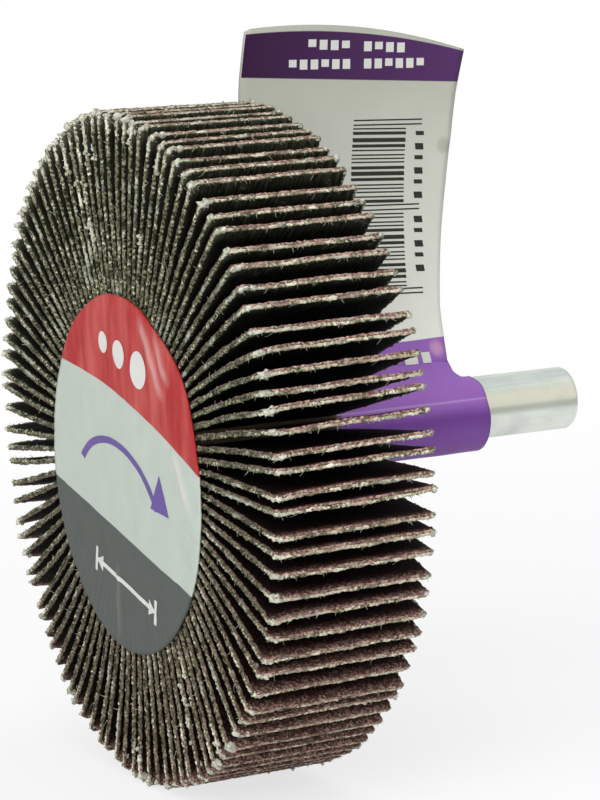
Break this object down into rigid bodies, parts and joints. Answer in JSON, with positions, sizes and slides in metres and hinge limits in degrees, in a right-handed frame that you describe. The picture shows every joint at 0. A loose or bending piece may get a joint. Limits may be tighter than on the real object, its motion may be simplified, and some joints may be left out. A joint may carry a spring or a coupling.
{
  "type": "mounted flap wheel",
  "caption": "Mounted flap wheel: abrasive cloth flaps fanned round a slotted resin core on a plain steel spindle, with a round front label and a folded paper tag.",
  "frame": {"origin": "centre of the wheel's front face, on the spindle's axis", "axes": "+Y along the spindle, out of the wheel's rear; +Z towards the standing paper tag; the label faces -Y"},
  "size_m": [0.0598, 0.0466, 0.0671],
  "materials": {
    "spindle_steel": "satin",
    "core_resin": "dull cast resin",
    "label_paper": "printed, slightly creased",
    "tag_paper": "printed card",
    "flap_cloth": "abrasive grain on cloth"
  },
  "bodies": {
    "root": {"spindle": "spindle_steel", "resin_core": "core_resin", "front_label": "label_paper", "shank_tag": "tag_paper", "flaps_01": "flap_cloth", "flaps_02": "flap_cloth", "flaps_03": "flap_cloth", "flaps_04": "flap_cloth", "flaps_05": "flap_cloth", "flaps_06": "flap_cloth", "flaps_07": "flap_cloth", "flaps_08": "flap_cloth", "flaps_09": "flap_cloth", "flaps_10": "flap_cloth", "flaps_11": "flap_cloth", "flaps_12": "flap_cloth", "flaps_13": "flap_cloth", "flaps_14": "flap_cloth", "flaps_15": "flap_cloth", "flaps_16": "flap_cloth", "flaps_17": "flap_cloth", "flaps_18": "flap_cloth", "flaps_19": "flap_cloth", "flaps_20": "flap_cloth", "flaps_21": "flap_cloth", "flaps_22": "flap_cloth", "flaps_23": "flap_cloth", "flaps_24": "flap_cloth", "flaps_25": "flap_cloth", "flaps_26": "flap_cloth", "flaps_27": "flap_cloth", "flaps_28": "flap_cloth", "flaps_29": "flap_cloth", "flaps_30": "flap_cloth", "flaps_31": "flap_cloth", "flaps_32": "flap_cloth", "flaps_33": "flap_cloth", "flaps_34": "flap_cloth"}
  },
  "joints": []
}
